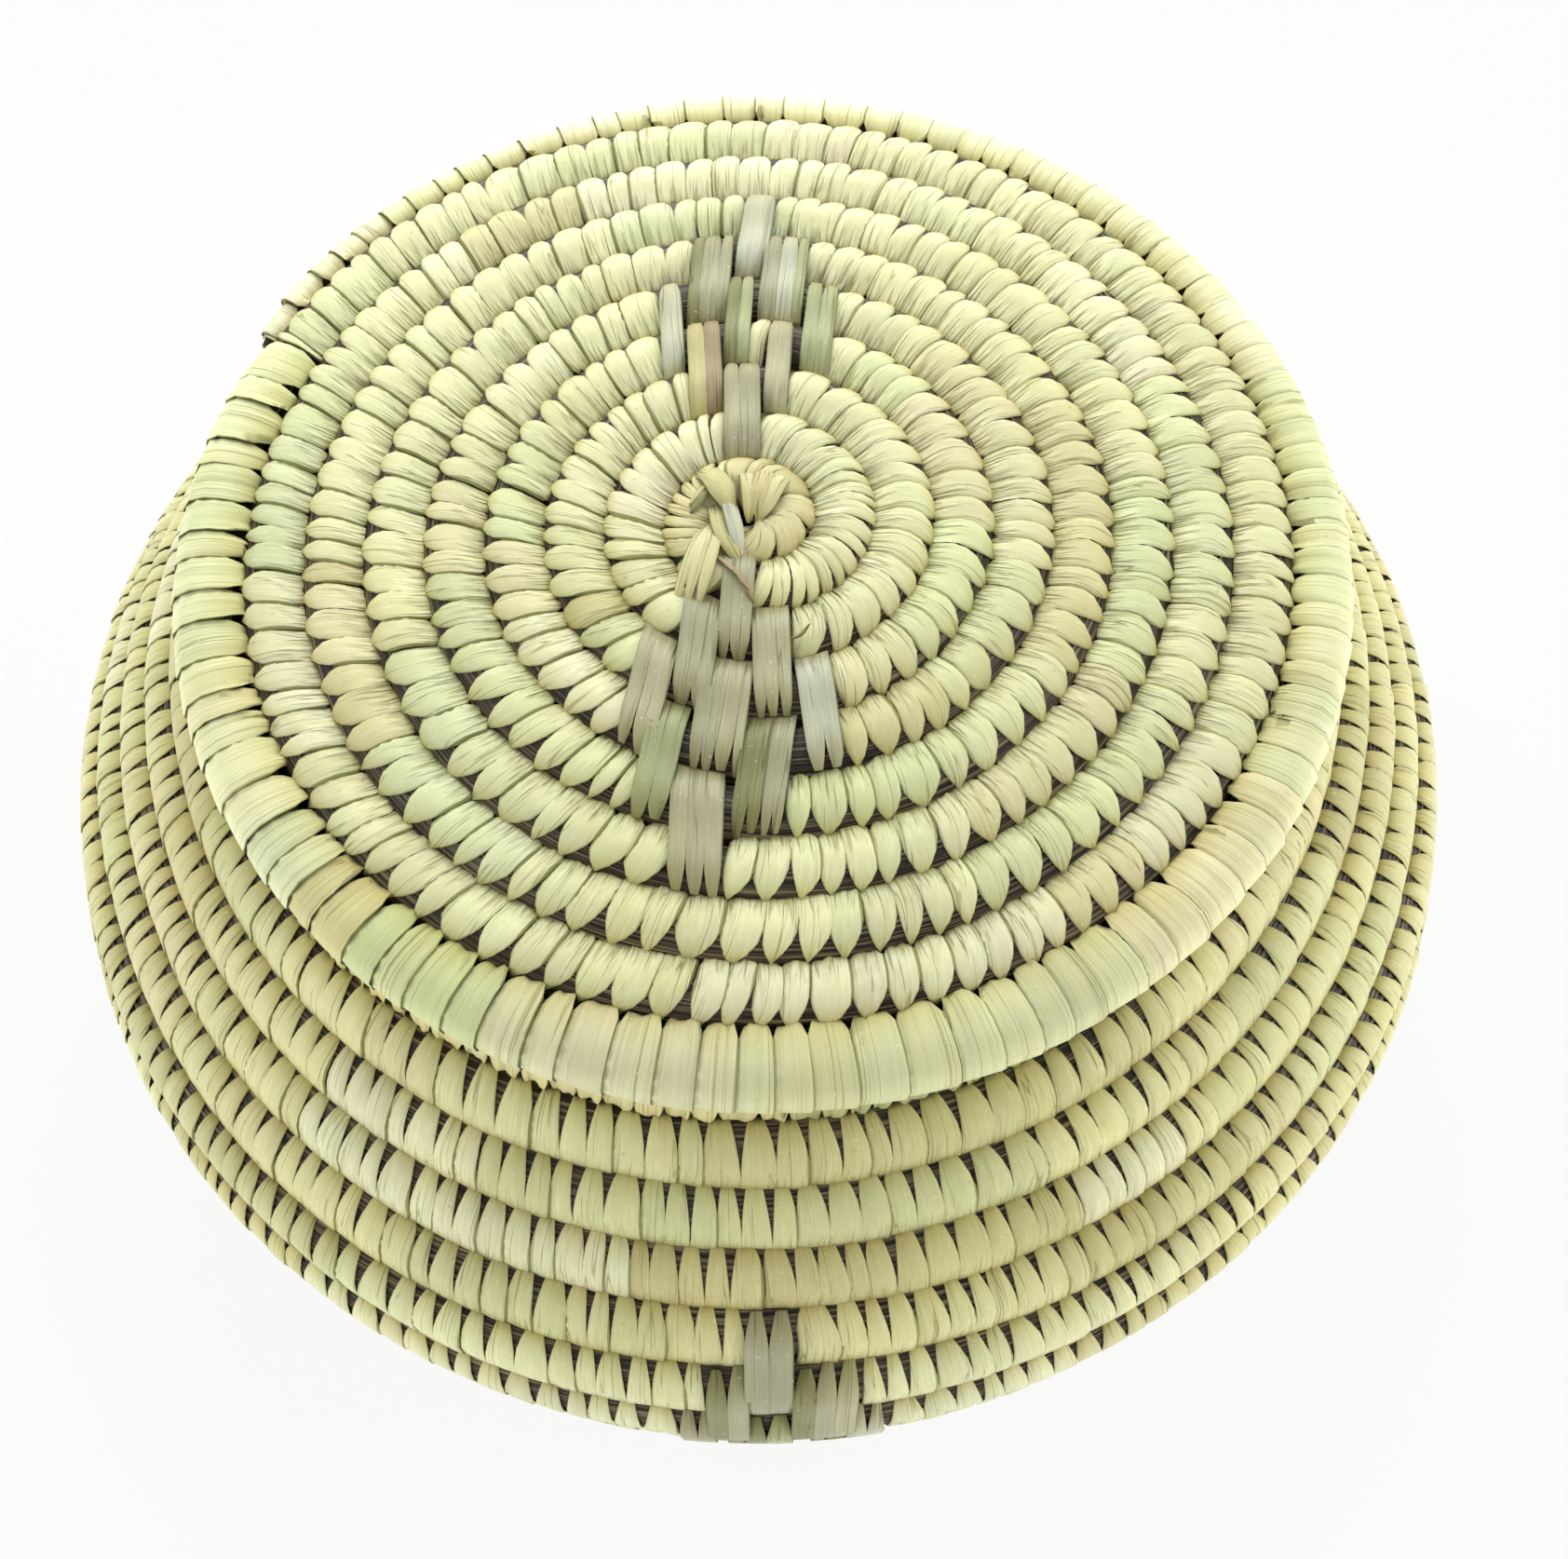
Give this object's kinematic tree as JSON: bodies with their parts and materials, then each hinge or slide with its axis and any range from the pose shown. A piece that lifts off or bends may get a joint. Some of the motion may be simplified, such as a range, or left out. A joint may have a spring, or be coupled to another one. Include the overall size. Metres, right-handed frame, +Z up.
{
  "type": "lidded coiled basket",
  "caption": "Coiled palm-leaf basket with a flat base, round belly and sloping shoulder, and a loose, slightly domed lid; darker leaf strips make stepped diamonds.",
  "frame": {"origin": "under the middle of the basket's base, on the plane it stands on", "axes": "+Z up, out of the mouth; -Y towards the front, where the basket's diamond is; +X to the right seen from the front"},
  "size_m": [0.2966, 0.2974, 0.1379],
  "materials": {
    "leaf_wrapping": "dry palm leaf, satin",
    "leaf_rim": "dry palm leaf, satin",
    "leaf_grey": "dry palm leaf, satin",
    "leaf_olive": "dry palm leaf, satin",
    "leaf_green": "dry palm leaf, satin"
  },
  "bodies": {
    "basket": {"base_coil": "leaf_wrapping", "lower_belly_coil": "leaf_wrapping", "upper_belly_coil": "leaf_wrapping", "shoulder_coil": "leaf_wrapping", "basket_rim_coil": "leaf_rim", "basket_front_strip_1": "leaf_grey", "basket_front_strip_2": "leaf_olive", "basket_front_strip_3": "leaf_grey", "basket_front_strip_4": "leaf_grey", "basket_front_strip_5": "leaf_olive", "basket_front_strip_6": "leaf_grey", "basket_front_strip_7": "leaf_grey", "basket_front_strip_8": "leaf_olive", "basket_front_strip_9": "leaf_grey"},
    "lid": {"lid_coil": "leaf_wrapping", "lid_rim_coil": "leaf_rim", "lid_centre_tab": "leaf_grey", "lid_front_strip_1": "leaf_grey", "lid_front_strip_2": "leaf_grey", "lid_front_strip_3": "leaf_olive", "lid_front_strip_4": "leaf_green", "lid_front_strip_5": "leaf_grey", "lid_front_strip_6": "leaf_grey", "lid_front_strip_7": "leaf_olive", "lid_front_strip_8": "leaf_green", "lid_front_strip_9": "leaf_grey", "lid_back_strip_1": "leaf_grey", "lid_back_strip_2": "leaf_olive", "lid_back_strip_3": "leaf_grey", "lid_back_strip_4": "leaf_green", "lid_back_strip_5": "leaf_grey", "lid_back_strip_6": "leaf_olive", "lid_back_strip_7": "leaf_grey", "lid_back_strip_8": "leaf_green", "lid_back_strip_9": "leaf_grey"}
  },
  "joints": [
    {"name": "lid_lift", "type": "slide", "parent": "basket", "child": "lid", "axis": [0, 0, 1], "range_m": [0, 0.16]}
  ]
}
